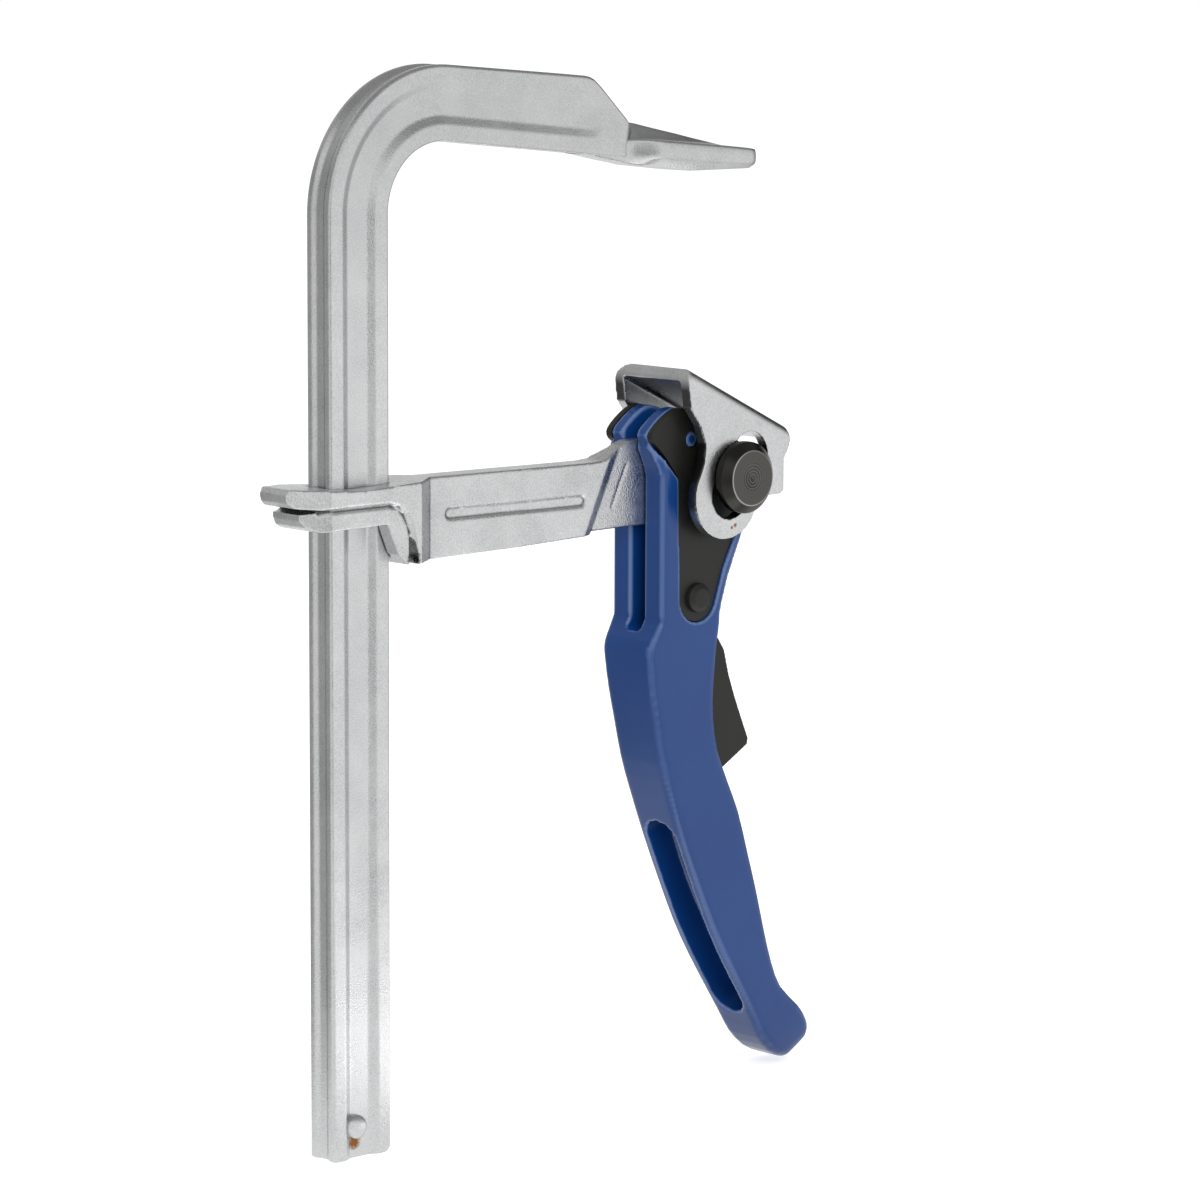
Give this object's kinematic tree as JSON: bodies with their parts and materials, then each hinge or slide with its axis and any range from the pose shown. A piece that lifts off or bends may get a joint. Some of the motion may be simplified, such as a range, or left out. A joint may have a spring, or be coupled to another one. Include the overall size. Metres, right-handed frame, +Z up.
{
  "type": "quick release bar clamp",
  "caption": "All-steel bar clamp with a bent rail and fixed jaw, a sliding arm, and a cam lever with a release trigger that lifts a swivelling pressure shoe.",
  "frame": {"origin": "middle of the fixed jaw's clamping face", "axes": "+Z up along the rail, towards the fixed arm; +X along the arms, away from the rail; -Y towards the pivot pin's head"},
  "size_m": [0.1867, 0.0375, 0.2797],
  "materials": {
    "zinc_steel": "zinc plated, satin with a fine grain",
    "blue_paint": "blue gloss coat on a die casting",
    "black_steel": "black oxide, matt",
    "dark_steel": "turned steel, black oiled",
    "spring_steel": "bright spring wire"
  },
  "bodies": {
    "rail": {"rail": "zinc_steel", "rail_stop_pin": "zinc_steel"},
    "arm": {"sliding_arm": "zinc_steel"},
    "lever": {"handle": "blue_paint", "cam_plate_near": "black_steel", "cam_plate_far": "black_steel", "cross_pin": "black_steel", "pawl_spring": "spring_steel"},
    "trigger": {"release_lever": "black_steel"},
    "pin": {"pivot_pin": "dark_steel", "pivot_ring": "dark_steel"},
    "shoe": {"pressure_shoe": "zinc_steel"}
  },
  "joints": [
    {"name": "arm_slide", "type": "slide", "parent": "rail", "child": "arm", "axis": [0, 0, 1], "range_m": [-0.152, 0.045]},
    {"name": "handle_swing", "type": "hinge", "parent": "arm", "child": "lever", "pos_m": [0.0011, 0, -0.0818], "axis": [0, 1, 0], "range_deg": [-40, 8]},
    {"name": "lever_release", "type": "hinge", "parent": "lever", "child": "trigger", "pos_m": [-0.0085, 0, -0.1144], "axis": [0, 1, 0], "range_deg": [0, 10], "stiffness_Nm_per_rad": 0.8, "springref_deg": -14.32, "deforming": ["pawl_spring"]},
    {"name": "shoe_swivel", "type": "hinge", "parent": "arm", "child": "pin", "pos_m": [0.0011, 0, -0.0818], "axis": [0, 1, 0], "range_deg": [-3, 15]},
    {"name": "shoe_lift", "type": "slide", "parent": "pin", "child": "shoe", "axis": [0.6004, 0, 0.7997], "range_m": [-0.0036, 0.0008]}
  ],
  "couplings": [
    {"joint": "shoe_lift", "follows": "handle_swing", "m_per_rad": 0.00501}
  ]
}
